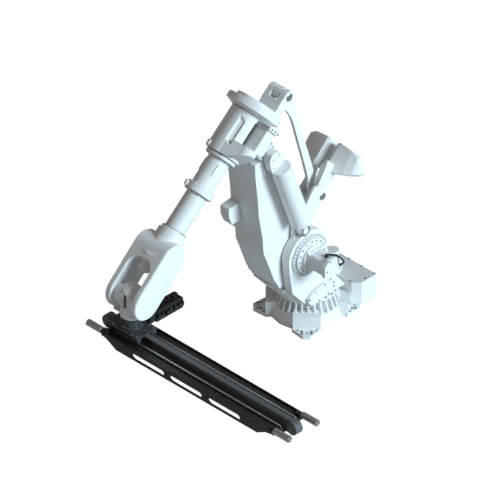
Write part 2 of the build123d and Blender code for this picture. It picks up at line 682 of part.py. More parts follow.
PIECES = {
    "base_casting": base_casting,
    "base_ring": base_ring,
    "connection_box": connection_box,
    "box_lid": box_lid,
    "turntable_frame": turntable_frame,
    "cylinder_bracket": frame_bracket,
    "axis1_cover": axis1_cover,
    "near_gearbox": lambda: gearbox(1),
    "far_gearbox": lambda: gearbox(-1),
    "near_motor": lambda: axis_motor(1),
    "far_motor": lambda: axis_motor(-1),
    "motor_caps": lambda: both_sides(motor_cap(1)),
    "drive_conduits": lambda: both_sides(drive_conduit()),
    "axis1_motor": axis1_motor,
    "lower_arm": lower_arm,
    "stop_block": stop_block,
    "top_bracket": top_bracket,
    "elbow_hubs": lambda: both_sides(elbow_hub(1)),
    "balance_tube": balance_tube,
    "balance_cap": balance_cap,
    "balance_rod": balance_rod,
    "near_parallel_plate": lambda: parallel_plate(1),
    "far_parallel_plate": lambda: parallel_plate(-1),
    "parallel_hub": parallel_hub,
    "near_weight": lambda: weight_half(1),
    "far_weight": lambda: weight_half(-1),
    "lower_rod_pin": lower_rod_pin,
    "parallel_rod": parallel_rod,
    "arm_house": arm_house,
    "house_disc": house_disc,
    "rear_ring": rear_ring,
    "rear_clevis": rear_clevis,
    "upper_rod_pin": upper_rod_pin,
    "axis4_lobe": axis4_lobe,
    "axis4_motor": axis4_motor,
    "forearm_tube": forearm_tube,
    "forearm_flange": forearm_flange,
    "forearm_front": forearm_front,
    "wrist_collar": wrist_collar,
    "wrist_fork": wrist_fork,
    "wrist_covers": lambda: both_sides(wrist_cover(1)),
    "crotch_motor": crotch_motor,
    "tilt_housing": tilt_housing,
    "tool_flange": tool_flange,
    "carriage_plate": carriage_plate,
    "carriage_blocks": carriage_blocks,
    "beam_motor": beam_motor,
    "centre_beam": centre_beam,
    "guide_rails": lambda: guide_rail(-1) + guide_rail(1),
    "cross_plate": cross_plate,
    "belt_pulleys": lambda: pulley_end(PULLEY_ENDS[0]) + pulley_end(PULLEY_ENDS[1]),
    "near_rail": lambda: rail_panel(-1),
    "far_rail": lambda: rail_panel(1),
    "bar_clamps": bar_clamps,
    "front_bars": lambda: tool_bar(-1, 1) + tool_bar(1, 1),
    "rear_bars": lambda: tool_bar(-1, -1) + tool_bar(1, -1),
}

for name, make in PIECES.items():
    export_step(make(), "parts/" + name + ".step")
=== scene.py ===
import json
import math

import bmesh
import bpy
from mathutils import Matrix, Vector

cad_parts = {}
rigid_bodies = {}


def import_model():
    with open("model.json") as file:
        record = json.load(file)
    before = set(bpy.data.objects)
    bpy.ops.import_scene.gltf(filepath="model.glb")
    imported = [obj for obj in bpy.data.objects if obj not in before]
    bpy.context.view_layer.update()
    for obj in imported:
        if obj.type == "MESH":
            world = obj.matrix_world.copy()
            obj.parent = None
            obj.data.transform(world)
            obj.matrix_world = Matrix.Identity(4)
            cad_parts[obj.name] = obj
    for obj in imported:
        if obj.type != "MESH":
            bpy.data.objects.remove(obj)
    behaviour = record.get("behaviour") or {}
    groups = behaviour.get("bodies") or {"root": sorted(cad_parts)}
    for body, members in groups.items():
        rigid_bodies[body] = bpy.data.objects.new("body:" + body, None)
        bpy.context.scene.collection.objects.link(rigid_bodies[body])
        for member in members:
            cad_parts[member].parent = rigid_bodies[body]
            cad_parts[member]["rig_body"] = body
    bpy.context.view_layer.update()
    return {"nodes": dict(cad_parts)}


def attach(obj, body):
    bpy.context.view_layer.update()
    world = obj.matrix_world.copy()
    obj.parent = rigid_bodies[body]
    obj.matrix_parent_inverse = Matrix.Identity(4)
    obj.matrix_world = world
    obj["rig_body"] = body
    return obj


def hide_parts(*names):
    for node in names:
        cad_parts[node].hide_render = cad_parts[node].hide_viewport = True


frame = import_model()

bl_info = {
    "name": "Press tending robot arm",
    "version": (1, 0, 0),
    "blender": (4, 5, 0),
    "location": "View3D > Sidebar > Robot arm",
    "description": "Dresses the packed robot arm with softened castings, fasteners, covers and paints",
    "category": "Object",
}

MM = 0.001

# Arm geometry, as (y, z) in millimetres in the side plane
SHOULDER = (-245.0, 814.5)
LOWER_ARM_LEAN = 18.6
LOWER_ARM_LENGTH = 1280.0
UPPER_ARM_PITCH = 40.7
AXIS4_OFFSET = 255.0
AXIS4_REACH = 1670.0
WRIST_STATION = 25.8

# Faces that fittings stand on, in millimetres from the part's middle plane, axis or floor
CHEEK_FACE = 276
GEARBOX_FACE = 304
MOTOR_FACE = 562
BASE_RING_TOP = 262
LID_TOP = 260
FOOT_TOP = 34
HEAD_FACE = 262
DISC_RISE = -22
DISC_BACK = 1930
REAR_RING_BACK = 1962
LEVER = 477
LEVER_TILT = 4.2
COLLAR_BACK = 690
PANEL_FACE = 185
PLATE_TOP = 799
CARRIAGE_TOP = 881
TOOL_FLANGE_TOP = 905
BELT_HALF_WIDTH = 27
PULLEY_AXES = (-247, 1912)
BAR_OFFSET = 163
BAR_Z = 810
BAR_ENDS = (-345, 2018)


def turned(point, angle):
    c, s = math.cos(math.radians(angle)), math.sin(math.radians(angle))
    return (point[0] * c - point[1] * s, point[0] * s + point[1] * c)


def add(p, q, scale=1.0):
    return (p[0] + q[0] * scale, p[1] + q[1] * scale)


ARM_ANGLE = 90 + LOWER_ARM_LEAN
ARM_DIR = turned((1, 0), ARM_ANGLE)
ARM_FRONT = turned((0, 1), ARM_ANGLE)
ELBOW = add(SHOULDER, ARM_DIR, LOWER_ARM_LENGTH)
BACK_DIR = turned((1, 0), UPPER_ARM_PITCH)
UP_DIR = turned((0, 1), UPPER_ARM_PITCH)
AXIS4_ORIGIN = add(add(ELBOW, UP_DIR, AXIS4_OFFSET), BACK_DIR, -AXIS4_REACH)
WRIST = add(AXIS4_ORIGIN, BACK_DIR, WRIST_STATION)


def axes_matrix(x_axis, y_axis, z_axis, origin):
    """Matrix that puts a local shape, in metres, at an origin in millimetres."""
    rows = Matrix((x_axis, y_axis, z_axis)).transposed().to_4x4()
    return Matrix.Translation(Vector(origin) * MM) @ rows


def along_x(x, centre, angle=0.0, side=1):
    """Local z outwards along X, local x at an angle in the side plane."""
    d = turned((1, 0), angle)
    e = turned((0, 1), angle)
    if side > 0:
        return axes_matrix((0, *d), (0, *e), (1, 0, 0), (x, *centre))
    return axes_matrix((0, *e), (0, *d), (-1, 0, 0), (-x, *centre))


def along_arm(station, rise=0.0, x=0.0):
    """Local z back along the upper arm, local x along X, local y up from the arm."""
    at = add(add(AXIS4_ORIGIN, BACK_DIR, station), UP_DIR, rise)
    return axes_matrix((1, 0, 0), (0, *UP_DIR), (0, *BACK_DIR), (x, *at))


def arm_front(station):
    """Local z forward along the upper arm at a station."""
    return axes_matrix((-1, 0, 0), (0, *UP_DIR), (0, -BACK_DIR[0], -BACK_DIR[1]),
                       (0, *add(AXIS4_ORIGIN, BACK_DIR, station)))


def on_arm_side(x, station, rise, side=1):
    """Local z outwards along X at a place of the upper arm, local x back along it."""
    at = add(add(AXIS4_ORIGIN, BACK_DIR, station), UP_DIR, rise)
    return along_x(x, at, UPPER_ARM_PITCH, side)


def on_arm_top(x, station, rise):
    """Local z up from the arm at a place of the upper arm, local y back along it."""
    at = add(add(AXIS4_ORIGIN, BACK_DIR, station), UP_DIR, rise)
    return axes_matrix((1, 0, 0), (0, *BACK_DIR), (0, *UP_DIR), (x, *at))


def round_arm(station, angle, radius=0.0):
    """Local z out from the arm's axis at an angle from X, local x back along the arm."""
    c, d = math.cos(math.radians(angle)), math.sin(math.radians(angle))
    out, way = (c, d * UP_DIR[0], d * UP_DIR[1]), (0, *BACK_DIR)
    across = Vector(out).cross(Vector(way))
    at = add(add(AXIS4_ORIGIN, BACK_DIR, station), UP_DIR, radius * d)
    return axes_matrix(way, tuple(across), out, (radius * c, *at))


def round_housing(angle):
    """Local z out from the wrist housing's axis at an angle from X, local y up."""
    c, d = math.cos(math.radians(angle)), math.sin(math.radians(angle))
    return axes_matrix((-d, c, 0), (0, 0, 1), (c, d, 0), (0, WRIST[0], 0))


def upright(x, y, z, turn=0.0):
    return Matrix.Translation(Vector((x, y, z)) * MM) @ Matrix.Rotation(math.radians(turn), 4, "Z")


# Finishes

def noise(tree, coords, scale, detail, rough=0.55):
    node = tree.nodes.new("ShaderNodeTexNoise")
    node.inputs["Scale"].default_value = scale
    node.inputs["Detail"].default_value = detail
    node.inputs["Roughness"].default_value = rough
    tree.links.new(coords, node.inputs["Vector"])
    return node.outputs["Fac"]


def ramp(tree, source, stops):
    node = tree.nodes.new("ShaderNodeValToRGB")
    for element, (position, colour) in zip(node.color_ramp.elements, (stops[0], stops[-1])):
        element.position, element.color = position, (*colour, 1)
    for position, colour in stops[1:-1]:
        node.color_ramp.elements.new(position).color = (*colour, 1)
    tree.links.new(source, node.inputs["Fac"])
    return node.outputs["Color"]


def spread(tree, source, low, high):
    node = tree.nodes.new("ShaderNodeMapRange")
    node.inputs["From Min"].default_value, node.inputs["From Max"].default_value = 0.3, 0.7
    node.inputs["To Min"].default_value, node.inputs["To Max"].default_value = low, high
    tree.links.new(source, node.inputs["Value"])
    return node.outputs["Result"]


def blend_colour(tree, kind, factor, a, b):
    node = tree.nodes.new("ShaderNodeMix")
    node.data_type, node.blend_type = "RGBA", kind
    if isinstance(factor, float):
        node.inputs[0].default_value = factor
    else:
        tree.links.new(factor, node.inputs[0])
    tree.links.new(a, node.inputs[6])
    if isinstance(b, tuple):
        node.inputs[7].default_value = (*b, 1)
    else:
        tree.links.new(b, node.inputs[7])
    return node.outputs[2]


def finish(name, colour, roughness, metallic=0.0, peel=900.0, peel_depth=0.00012, grime=0.10, brushed=None,
           coat=0.0):
    """Painted or bare metal: uneven tone, faint grime that runs down, orange peel or brushing."""
    material = bpy.data.materials.new(name)
    material.use_nodes = True
    tree = material.node_tree
    shader = tree.nodes["Principled BSDF"]
    shader.inputs["Metallic"].default_value = metallic
    shader.inputs["Coat Weight"].default_value = coat
    coords = tree.nodes.new("ShaderNodeTexCoord").outputs["Object"]
    tone = noise(tree, coords, 2.4, 5)
    light = tuple(min(1.0, c * 1.05) for c in colour)
    dark = tuple(c * 0.93 for c in colour)
    base = ramp(tree, tone, [(0.3, dark), (0.5, colour), (0.7, light)])
    streaks = tree.nodes.new("ShaderNodeMapping")
    streaks.inputs["Scale"].default_value = (9, 9, 1.1)
    tree.links.new(coords, streaks.inputs["Vector"])
    run = noise(tree, streaks.outputs["Vector"], 1.6, 6, 0.6)
    patch = tree.nodes.new("ShaderNodeMapRange")
    patch.inputs["From Min"].default_value, patch.inputs["From Max"].default_value = 0.55, 0.8
    patch.inputs["To Min"].default_value, patch.inputs["To Max"].default_value = 0.0, grime
    tree.links.new(run, patch.inputs["Value"])
    base = blend_colour(tree, "MIX", patch.outputs["Result"], base, tuple(c * 0.55 for c in colour))
    tree.links.new(base, shader.inputs["Base Color"])
    tree.links.new(spread(tree, noise(tree, coords, 14, 6), roughness - 0.07, roughness + 0.09),
                   shader.inputs["Roughness"])
    bump = tree.nodes.new("ShaderNodeBump")
    bump.inputs["Strength"].default_value = 0.5
    bump.inputs["Distance"].default_value = peel_depth
    if brushed:
        lines = tree.nodes.new("ShaderNodeMapping")
        lines.inputs["Scale"].default_value = brushed
        tree.links.new(coords, lines.inputs["Vector"])
        tree.links.new(noise(tree, lines.outputs["Vector"], 30, 4), bump.inputs["Height"])
    else:
        tree.links.new(noise(tree, coords, peel, 2), bump.inputs["Height"])
    tree.links.new(bump.outputs["Normal"], shader.inputs["Normal"])
    return material


FINISHES = {}


def make_finishes():
    props = bpy.context.scene.robot_finish
    FINISHES.update({
        "white_paint": finish("arm_white_paint", tuple(props.white), 0.42, coat=0.15),
        "cast_white": finish("cast_white_paint", tuple(props.white), 0.5, peel=260.0, peel_depth=0.0005),
        "grey_paint": finish("lid_grey_paint", tuple(props.grey), 0.5, peel=500.0),
        "dark_grey": finish("unit_dark_grey", tuple(props.dark), 0.45, grime=0.25),
        "black_paint": finish("rail_black", tuple(props.black), 0.4, grime=0.2),
        "belt_grey": finish("belt_grey", (0.11, 0.112, 0.115), 0.6, peel=700.0),
        "rubber": finish("conduit_rubber", (0.018, 0.018, 0.019), 0.65, peel=1400.0, peel_depth=0.0003),
        "steel": finish("ground_steel", (0.52, 0.53, 0.54), 0.3, metallic=1.0, brushed=(1, 60, 60),
                        grime=0.3),
        "bolt_steel": finish("bolt_zinc", (0.40, 0.41, 0.43), 0.36, metallic=0.9, peel=1500.0, grime=0.35),
        "bar_aluminium": finish("bar_aluminium", (0.5, 0.5, 0.49), 0.38, metallic=0.85,
                                brushed=(1, 90, 90)),
        # Flat dark finish that paints the shade seen in holes, gaps and slots: the foot holes, collar
        # studs, house gap and housing slots take it.
        "painted_shade": finish("painted_shade_dark", (0.10, 0.10, 0.105), 0.7, peel=400.0),
    })


# Mesh helpers

def tidy(bm):
    bmesh.ops.recalc_face_normals(bm, faces=bm.faces)


def shade(mesh, angle=34.0):
    for face in mesh.polygons:
        face.use_smooth = True
    mesh.set_sharp_from_angle(angle=math.radians(angle))


def soft_edges(piece, width, segments=2, angle=33.0):
    bevel = piece.modifiers.new("Edges", "BEVEL")
    bevel.width = width * MM
    bevel.segments = segments
    bevel.limit_method = "ANGLE"
    bevel.angle_limit = math.radians(angle)
    bevel.harden_normals = True
    bevel.use_clamp_overlap = True


def place_piece(name, mesh, body, material, edge=0.0):
    """Adds a finished mesh to the scene on a body, material and softened edges."""
    piece = bpy.data.objects.new(name, mesh)
    bpy.context.scene.collection.objects.link(piece)
    piece.data.materials.clear()
    piece.data.materials.append(FINISHES[material])
    shade(piece.data)
    if edge:
        soft_edges(piece, edge)
    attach(piece, body)
    return piece


def softened(node, width, material="white_paint", segments=2, angle=33.0):
    """Stands for a CAD node with a merged copy whose edges are rounded as on a casting."""
    source = frame["nodes"][node]
    bm = bmesh.new()
    bm.from_mesh(source.data)
    bmesh.ops.remove_doubles(bm, verts=bm.verts, dist=0.00004)
    bmesh.ops.dissolve_degenerate(bm, edges=bm.edges, dist=0.00002)
    bmesh.ops.dissolve_limit(bm, angle_limit=math.radians(0.6), verts=bm.verts, edges=bm.edges)
    mesh = bpy.data.meshes.new(node + "_casting")
    bm.to_mesh(mesh)
    bm.free()
    piece = place_piece(node + "_casting", mesh, source["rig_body"], material)
    soft_edges(piece, width, segments, angle)
    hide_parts(node)
    return piece


def lathe(bm, profile, matrix, segments=32):
    """Closed round shape about local z from (radius, height) points in millimetres, ends on the axis."""
    rings = []
    for radius, height in profile:
        if radius < 1e-6:
            rings.append([bm.verts.new(matrix @ Vector((0, 0, height * MM)))])
            continue
        rings.append([bm.verts.new(matrix @ Vector((radius * MM * math.cos(t), radius * MM * math.sin(t),
                                                    height * MM)))
                      for t in (2 * math.pi * k / segments for k in range(segments))])
    for a, b in zip(rings, rings[1:]):
        for k in range(segments):
            m = (k + 1) % segments
            corners = [a[k % len(a)], a[m % len(a)], b[m % len(b)], b[k % len(b)]]
            corners = [v for i, v in enumerate(corners) if v not in corners[:i]]
            if len(corners) > 2:
                bm.faces.new(corners)


def ring(bm, matrix, outer, inner, height, segments=48, soft=2.0):
    """Flat ring with a soft outer edge, closed round its section."""
    section = [(inner, 0), (outer, 0), (outer, height - soft), (outer - soft, height), (inner, height)]
    loops = [[bm.verts.new(matrix @ Vector((r * MM * math.cos(t), r * MM * math.sin(t), h * MM)))
              for t in (2 * math.pi * k / segments for k in range(segments))] for r, h in section]
    for a, b in zip(loops, loops[1:] + loops[:1]):
        for k in range(segments):
            m = (k + 1) % segments
            bm.faces.new((a[k], a[m], b[m], b[k]))


def prism(bm, points, matrix, low, high):
    """Straight-sided plate from a local outline, between two local heights in millimetres."""
    bottom = [bm.verts.new(matrix @ Vector((x * MM, y * MM, low * MM))) for x, y in points]
    top = [bm.verts.new(matrix @ Vector((x * MM, y * MM, high * MM))) for x, y in points]
    bm.faces.new(bottom[::-1])
    bm.faces.new(top)
    for k in range(len(points)):
        m = (k + 1) % len(points)
        bm.faces.new((bottom[k], bottom[m], top[m], top[k]))


def rounded(width, height, radius, steps=5, centre=(0, 0)):
    points = []
    for cx, cy, start in ((1, 1, 0), (-1, 1, 90), (-1, -1, 180), (1, -1, 270)):
        for k in range(steps + 1):
            t = math.radians(start + 90 * k / steps)
            points.append((centre[0] + cx * (width / 2 - radius) + radius * math.cos(t),
                           centre[1] + cy * (height / 2 - radius) + radius * math.sin(t)))
    return points


def frame_outline(bm, outer, inner, matrix, low, high):
    """Raised rim between two outlines with the same number of points."""
    rims = [[bm.verts.new(matrix @ Vector((x * MM, y * MM, z * MM))) for x, y in outline]
            for outline, z in ((outer, low), (outer, high), (inner, high), (inner, low))]
    for a, b in zip(rims, rims[1:] + rims[:1]):
        for k in range(len(outer)):
            m = (k + 1) % len(outer)
            bm.faces.new((a[k], a[m], b[m], b[k]))


def cut(piece, make, width):
    """Takes a shape out of a piece and softens its edges again."""
    bm = bmesh.new()
    make(bm)
    tidy(bm)
    mesh = bpy.data.meshes.new("cutter")
    bm.to_mesh(mesh)
    bm.free()
    cutter = bpy.data.objects.new("cutter", mesh)
    bpy.context.scene.collection.objects.link(cutter)
    piece.modifiers.clear()
    boolean = piece.modifiers.new("Cut", "BOOLEAN")
    boolean.operation, boolean.object, boolean.solver = "DIFFERENCE", cutter, "EXACT"
    bpy.context.view_layer.update()
    made = bpy.data.meshes.new_from_object(piece.evaluated_get(bpy.context.evaluated_depsgraph_get()))
    if not made.polygons:
        raise RuntimeError(piece.name + " came out empty")
    piece.modifiers.clear()
    bpy.data.objects.remove(cutter)
    piece.data = made
    shade(made, 40)
    soft_edges(piece, width, 3)


def tapered(bm, low_points, high_points, matrix, low, high):
    """Plate whose two outlines differ, between two local heights in millimetres."""
    rims = [[bm.verts.new(matrix @ Vector((x * MM, y * MM, z * MM))) for x, y in outline]
            for outline, z in ((low_points, low), (high_points, high))]
    bm.faces.new(rims[0][::-1])
    bm.faces.new(rims[1])
    for k in range(len(low_points)):
        m = (k + 1) % len(low_points)
        bm.faces.new((rims[0][k], rims[0][m], rims[1][m], rims[1][k]))


def built(name, body, material, make, edge=0.0):
    """Runs a function that fills a bmesh, and adds the result as a piece."""
    bm = bmesh.new()
    make(bm)
    tidy(bm)
    mesh = bpy.data.meshes.new(name)
    bm.to_mesh(mesh)
    bm.free()
    return place_piece(name, mesh, body, material, edge)


# Fasteners, as a geometry node tree that puts a cap screw on each point of a mesh

def screw_tree():
    if "cap_screws" in bpy.data.node_groups:
        return bpy.data.node_groups["cap_screws"]
    tree = bpy.data.node_groups.new("cap_screws", "GeometryNodeTree")
    face = tree.interface
    face.new_socket("Geometry", in_out="INPUT", socket_type="NodeSocketGeometry")
    for label, value in (("Head radius", 0.009), ("Head height", 0.009), ("Washer radius", 0.014)):
        face.new_socket(label, in_out="INPUT", socket_type="NodeSocketFloat").default_value = value
    face.new_socket("Sides", in_out="INPUT", socket_type="NodeSocketInt").default_value = 6
    face.new_socket("Finish", in_out="INPUT", socket_type="NodeSocketMaterial")
    face.new_socket("Geometry", in_out="OUTPUT", socket_type="NodeSocketGeometry")
    new, link = tree.nodes.new, tree.links.new
    group_in, group_out = new("NodeGroupInput"), new("NodeGroupOutput")
    head = new("GeometryNodeMeshCylinder")
    washer = new("GeometryNodeMeshCylinder")
    washer.inputs["Vertices"].default_value = 14
    washer.inputs["Depth"].default_value = 0.0024
    link(group_in.outputs["Sides"], head.inputs["Vertices"])
    link(group_in.outputs["Head radius"], head.inputs["Radius"])
    link(group_in.outputs["Head height"], head.inputs["Depth"])
    link(group_in.outputs["Washer radius"], washer.inputs["Radius"])
    half = new("ShaderNodeMath")
    half.operation = "MULTIPLY"
    half.inputs[1].default_value = 0.5
    link(group_in.outputs["Head height"], half.inputs[0])
    lift = new("ShaderNodeCombineXYZ")
    link(half.outputs[0], lift.inputs["Z"])
    shift = new("GeometryNodeTransform")
    link(head.outputs["Mesh"], shift.inputs["Geometry"])
    link(lift.outputs[0], shift.inputs["Translation"])
    both = new("GeometryNodeJoinGeometry")
    link(shift.outputs[0], both.inputs[0])
    link(washer.outputs["Mesh"], both.inputs[0])
    direction = new("GeometryNodeInputNamedAttribute")
    direction.data_type = "FLOAT_VECTOR"
    direction.inputs["Name"].default_value = "outwards"
    size = new("GeometryNodeInputNamedAttribute")
    size.data_type = "FLOAT"
    size.inputs["Name"].default_value = "size"
    align = new("FunctionNodeAlignRotationToVector")
    align.axis = "Z"
    link(direction.outputs[0], align.inputs["Vector"])
    points = new("GeometryNodeInstanceOnPoints")
    link(group_in.outputs["Geometry"], points.inputs["Points"])
    link(both.outputs[0], points.inputs["Instance"])
    link(align.outputs[0], points.inputs["Rotation"])
    link(size.outputs[0], points.inputs["Scale"])
    real = new("GeometryNodeRealizeInstances")
    link(points.outputs[0], real.inputs[0])
    colour = new("GeometryNodeSetMaterial")
    link(real.outputs[0], colour.inputs["Geometry"])
    link(group_in.outputs["Finish"], colour.inputs["Material"])
    link(colour.outputs[0], group_out.inputs[0])
    return tree


def circle_points(matrix, radius, count, start=0.0, size=1.0):
    """Screw places evenly round local z."""
    out = []
    for k in range(count):
        t = math.radians(start + 360 * k / count)
        out.append((matrix @ Vector((radius * MM * math.cos(t), radius * MM * math.sin(t), 0)),
                    (matrix.to_3x3() @ Vector((0, 0, 1))), size))
    return out


def list_points(matrix, places, size=1.0):
    return [(matrix @ Vector((x * MM, y * MM, 0)), matrix.to_3x3() @ Vector((0, 0, 1)), size) for x,
            y in places]


def screws(name, body, points, material="bolt_steel", sides=6):
    """Cap screws on given points, as one plain mesh on a body."""
    props = bpy.context.scene.robot_screws
    mesh = bpy.data.meshes.new(name + "_places")
    mesh.from_pydata([tuple(p) for p, d, s in points], [], [])
    outwards = mesh.attributes.new("outwards", "FLOAT_VECTOR", "POINT")
    outwards.data.foreach_set("vector", [c for p, d, s in points for c in d])
    size = mesh.attributes.new("size", "FLOAT", "POINT")
    size.data.foreach_set("value", [s for p, d, s in points])
    holder = bpy.data.objects.new(name + "_places", mesh)
    bpy.context.scene.collection.objects.link(holder)
    modifier = holder.modifiers.new("Screws", "NODES")
    modifier.node_group = screw_tree()
    keys = {item.name: item.identifier for item in modifier.node_group.interface.items_tree
            if item.item_type == "SOCKET" and item.in_out == "INPUT"}
    modifier[keys["Head radius"]] = props.head_radius
    modifier[keys["Head height"]] = props.head_height
    modifier[keys["Washer radius"]] = props.washer_radius
    modifier[keys["Sides"]] = sides
    modifier[keys["Finish"]] = FINISHES[material]
    bpy.context.view_layer.update()
    graph = bpy.context.evaluated_depsgraph_get()
    made = bpy.data.meshes.new_from_object(holder.evaluated_get(graph))
    if not made.polygons:
        raise RuntimeError(name + " came out empty")
    holder.modifiers.remove(modifier)
    bpy.data.objects.remove(holder)
    made.name = name
    return place_piece(name, made, body, material)


# Sizes and colours that a user may change

class RobotFinishSettings(bpy.types.PropertyGroup):
    white: bpy.props.FloatVectorProperty(name="White paint", description="Colour of the castings",
                                         subtype="COLOR", size=3, default=(0.83, 0.84, 0.84), min=0, max=1)
    grey: bpy.props.FloatVectorProperty(name="Grey paint", description="Colour of the connection box lid",
                                        subtype="COLOR", size=3, default=(0.70, 0.70, 0.70), min=0, max=1)
    dark: bpy.props.FloatVectorProperty(name="Dark grey", description="Colour of the beam and its carriage",
                                        subtype="COLOR", size=3, default=(0.05, 0.051, 0.053), min=0, max=1)
    black: bpy.props.FloatVectorProperty(name="Black paint", description="Colour of the rail panels",
                                         subtype="COLOR", size=3, default=(0.012, 0.012, 0.0125), min=0,
                                         max=1)


class RobotScrewSettings(bpy.types.PropertyGroup):
    head_radius: bpy.props.FloatProperty(name="Head radius", description="Radius of a cap screw's head",
                                         default=0.008, min=0.002, max=0.03, unit="LENGTH")
    head_height: bpy.props.FloatProperty(name="Head height", description="Height of a cap screw's head",
                                         default=0.007, min=0.001, max=0.03, unit="LENGTH")
    washer_radius: bpy.props.FloatProperty(name="Washer radius",
                                           description="Radius of the washer under a head",
                                           default=0.012, min=0.002, max=0.04, unit="LENGTH")


class RobotStageSettings(bpy.types.PropertyGroup):
    key_strength: bpy.props.FloatProperty(name="Key light",
                                          description="Strength of the light from the front end",
                                          default=3.45, min=0, max=20)
    fill_strength: bpy.props.FloatProperty(name="Fill light", description="Strength of the light all round",
                                           default=0.2, min=0, max=5)
    floor_half: bpy.props.FloatProperty(name="Floor half width", description="Half the width of the floor",
                                        default=30.0, min=3, max=200, unit="LENGTH")


# Pieces

CASTINGS = {
    "base": [("base_casting", 3, "cast_white"), ("base_ring", 4, "white_paint"),
             ("connection_box", 9, "white_paint"),
             ("box_lid", 3, "grey_paint")],
    "turntable": [("turntable_frame", 5, "cast_white"), ("cylinder_bracket", 5, "cast_white"),
                  ("axis1_cover", 7, "white_paint"), ("near_gearbox", 4, "white_paint"),
                  ("far_gearbox", 4, "white_paint"), ("near_motor", 3, "white_paint"),
                  ("far_motor", 3, "white_paint"),
                  ("motor_caps", 7, "white_paint"), ("axis1_motor", 5, "white_paint"),
                  ("drive_conduits", 1, "rubber")],
    "lower_arm": [("lower_arm", 9, "cast_white"), ("stop_block", 6, "cast_white"),
                  ("elbow_hubs", 4, "white_paint"),
                  ("top_bracket", 3, "cast_white")],
    "balance": [("balance_tube", 9, "white_paint"), ("balance_cap", 5, "cast_white"),
                ("balance_rod", 2, "steel")],
    "parallel": [("near_parallel_plate", 5, "cast_white"), ("far_parallel_plate", 5, "cast_white"),
                 ("parallel_hub", 3, "white_paint"), ("near_weight", 12, "cast_white", 55),
                 ("far_weight", 12, "cast_white", 55), ("lower_rod_pin", 2, "steel"),
                 ("parallel_rod", 4, "cast_white")],
    "upper_arm": [("arm_house", 6, "cast_white"), ("house_disc", 5, "white_paint"),
                  ("rear_ring", 3, "white_paint"),
                  ("rear_clevis", 6, "cast_white"), ("upper_rod_pin", 2, "steel"),
                  ("axis4_lobe", 14, "cast_white", 50),
                  ("axis4_motor", 5, "white_paint")],
    "forearm": [("forearm_tube", 4, "white_paint"), ("forearm_flange", 4, "white_paint"),
                ("forearm_front", 3, "white_paint"), ("wrist_collar", 4, "white_paint"),
                ("wrist_fork", 9, "cast_white"), ("wrist_covers", 7, "white_paint"),
                ("crotch_motor", 3, "cast_white"),
                ("tilt_housing", 4, "white_paint")],
    "beam": [("tool_flange", 3, "dark_grey"), ("carriage_plate", 3, "dark_grey"),
             ("carriage_blocks", 3, "dark_grey"),
             ("beam_motor", 4, "black_paint"), ("centre_beam", 2, "black_paint"),
             ("guide_rails", 2, "steel"),
             ("cross_plate", 2, "black_paint"), ("belt_pulleys", 3, "belt_grey"),
             ("near_rail", 1.5, "black_paint"),
             ("far_rail", 1.5, "black_paint"), ("bar_clamps", 3, "black_paint"),
             ("front_bars", 4, "bar_aluminium"), ("rear_bars", 4, "bar_aluminium")],
}


def soften_group(group):
    for node, width, material, *smooth in CASTINGS[group]:
        piece = softened(node, width, material)
        if smooth:
            shade(piece.data, smooth[0])
            piece.modifiers["Edges"].angle_limit = math.radians(smooth[0])
            piece.modifiers["Edges"].harden_normals = False


class ROBOT_OT_base(bpy.types.Operator):
    """Base castings with their screws, painted shade in the small foot holes and the box's sockets"""
    bl_idname = "robot.base"
    bl_label = "Base"

    def execute(self, context):
        soften_group("base")
        points = circle_points(upright(0, 0, BASE_RING_TOP), 259, 24, 7.5, 0.95)
        screws("base_ring_screws", "base", points)
        lid = [(-300, 504), (-150, 504), (0, 504), (150, 504), (300, 504), (-300, 400), (300, 400),
               (-235, 285),
               (235, 285)]
        screws("lid_screws", "base", list_points(upright(0, 0, LID_TOP), lid, 0.8))

        # The foot holes are drawn as flat dark discs on the plate: painted shade of the holes' insides, not
        # real openings.
        holes = []
        for corner in range(4):
            holes += list_points(upright(0, 0, FOOT_TOP, 90 * corner),
                                 [(300, 240), (240, 300), (262, 318), (318, 262)], 0.9)
        screws("foot_hole_shade", "base", holes, "painted_shade", 12)

        def sockets(bm):
            for x, radius in ((-220, 26), (-140, 26), (-50, 34), (50, 34), (150, 22), (220, 22)):
                place = axes_matrix((-1, 0, 0), (0, 0, 1), (0, 1, 0), (x, 500, 150))
                lathe(bm, [(0, 0), (radius + 5, 0), (radius + 5, 11), (radius, 13), (radius - 3, 13),
                           (radius - 5, 7),
                           (0, 7)], place, 28)
        built("box_sockets", "base", "dark_grey", sockets)
        return {"FINISHED"}


